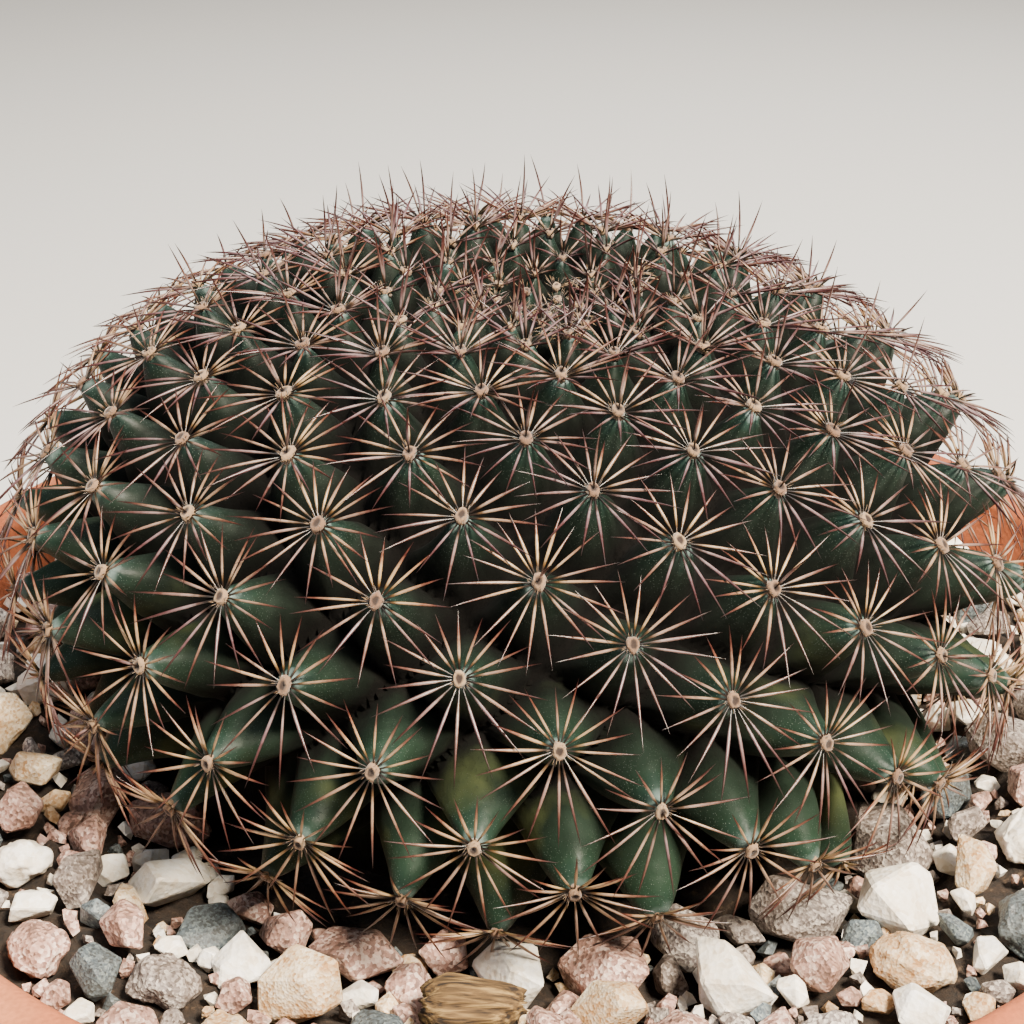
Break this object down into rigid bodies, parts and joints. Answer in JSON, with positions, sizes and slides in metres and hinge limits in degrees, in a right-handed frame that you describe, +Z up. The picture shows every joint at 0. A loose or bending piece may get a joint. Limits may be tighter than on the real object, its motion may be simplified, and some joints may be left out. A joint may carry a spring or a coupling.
{
  "type": "potted round cactus",
  "caption": "Squat round cactus with spiral rows of spined tubercles, growing through gravel in a plain flared terracotta pan with a drain hole.",
  "frame": {"origin": "middle of the pan's flat base, at the bottom of the object's box", "axes": "+Z up, the shortest side of the object's box; -Y is the front and the plant leans a little towards +X"},
  "size_m": [0.16, 0.16, 0.1464],
  "materials": {
    "terracotta": "matt unglazed terracotta",
    "potting_soil": "loose dark peaty soil",
    "grit": "loose fine mixed grit",
    "stem_flesh": "waxy dark green skin with fine white specks",
    "crown_wool": "matt white plant wool",
    "spines": "satin pinkish tan with dark red-brown tips",
    "bark": "weathered fibrous bark",
    "marble": "broken white marble",
    "pink_granite": "speckled pink granite",
    "grey_granite": "speckled grey granite",
    "limestone": "matt cream limestone",
    "slate": "dull dark slate"
  },
  "bodies": {
    "root": {"pot": "terracotta", "soil": "potting_soil", "grit_bed": "grit", "stone_01": "marble", "stone_02": "pink_granite", "stone_03": "grey_granite", "stone_04": "limestone", "stone_05": "slate", "stone_06": "marble", "stone_07": "pink_granite", "stone_08": "grey_granite", "stone_09": "limestone", "stone_10": "slate", "stone_11": "marble", "stone_12": "pink_granite", "stone_13": "grey_granite", "stone_14": "limestone", "stone_15": "slate", "stone_16": "marble", "stone_17": "pink_granite", "stone_18": "grey_granite", "stone_19": "limestone", "stone_20": "slate", "stone_21": "marble", "stone_22": "pink_granite", "stone_23": "grey_granite", "stone_24": "limestone", "stone_25": "slate", "stone_26": "marble", "stone_27": "pink_granite", "stone_28": "grey_granite", "stone_29": "limestone", "stone_30": "slate", "bark_chip": "bark", "stem": "stem_flesh", "spine_row_01": "spines", "spine_row_02": "spines", "spine_row_03": "spines", "spine_row_04": "spines", "spine_row_05": "spines", "spine_row_06": "spines", "spine_row_07": "spines", "spine_row_08": "spines", "spine_row_09": "spines", "spine_row_10": "spines", "spine_row_11": "spines", "spine_row_12": "spines", "spine_row_13": "spines", "spine_row_14": "spines", "spine_row_15": "spines", "spine_row_16": "spines", "crown_wool": "crown_wool"}
  },
  "joints": []
}
